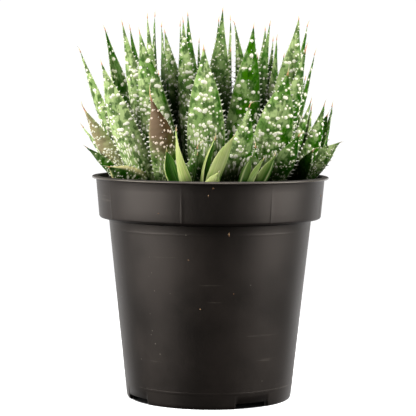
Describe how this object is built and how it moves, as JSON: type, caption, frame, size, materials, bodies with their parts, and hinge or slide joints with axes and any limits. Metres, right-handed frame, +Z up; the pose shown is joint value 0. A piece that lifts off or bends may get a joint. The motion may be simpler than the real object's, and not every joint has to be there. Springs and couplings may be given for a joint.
{
  "type": "potted haworthia",
  "caption": "Clump of white-flecked, toothed succulent rosettes standing in potting mix in a round plastic nursery pot.",
  "frame": {"origin": "centre of the pot's foot, on the surface the pot stands on", "axes": "+Z up along the pot's axis, -Y to the side seen from the front, +X to the front view's right"},
  "size_m": [0.1322, 0.1212, 0.198],
  "materials": {
    "pot_plastic": "satin moulded plastic, dark brown-black",
    "potting_mix": "rough, granular",
    "leaf": "satin, glaucous green with raised cream flecks and pale teeth",
    "pup_leaf": "satin, smooth light yellow-green"
  },
  "bodies": {
    "root": {"pot": "pot_plastic", "soil": "potting_mix", "head_centre": "leaf", "head_centre_right": "leaf", "head_left": "leaf", "head_far_left": "leaf", "head_right": "leaf", "head_far_right": "leaf", "head_back_left": "leaf", "head_back_right": "leaf", "head_back": "leaf", "pup_front_left": "pup_leaf", "pup_front_middle": "pup_leaf", "pup_front_right": "pup_leaf", "head_middle": "leaf"}
  },
  "joints": []
}
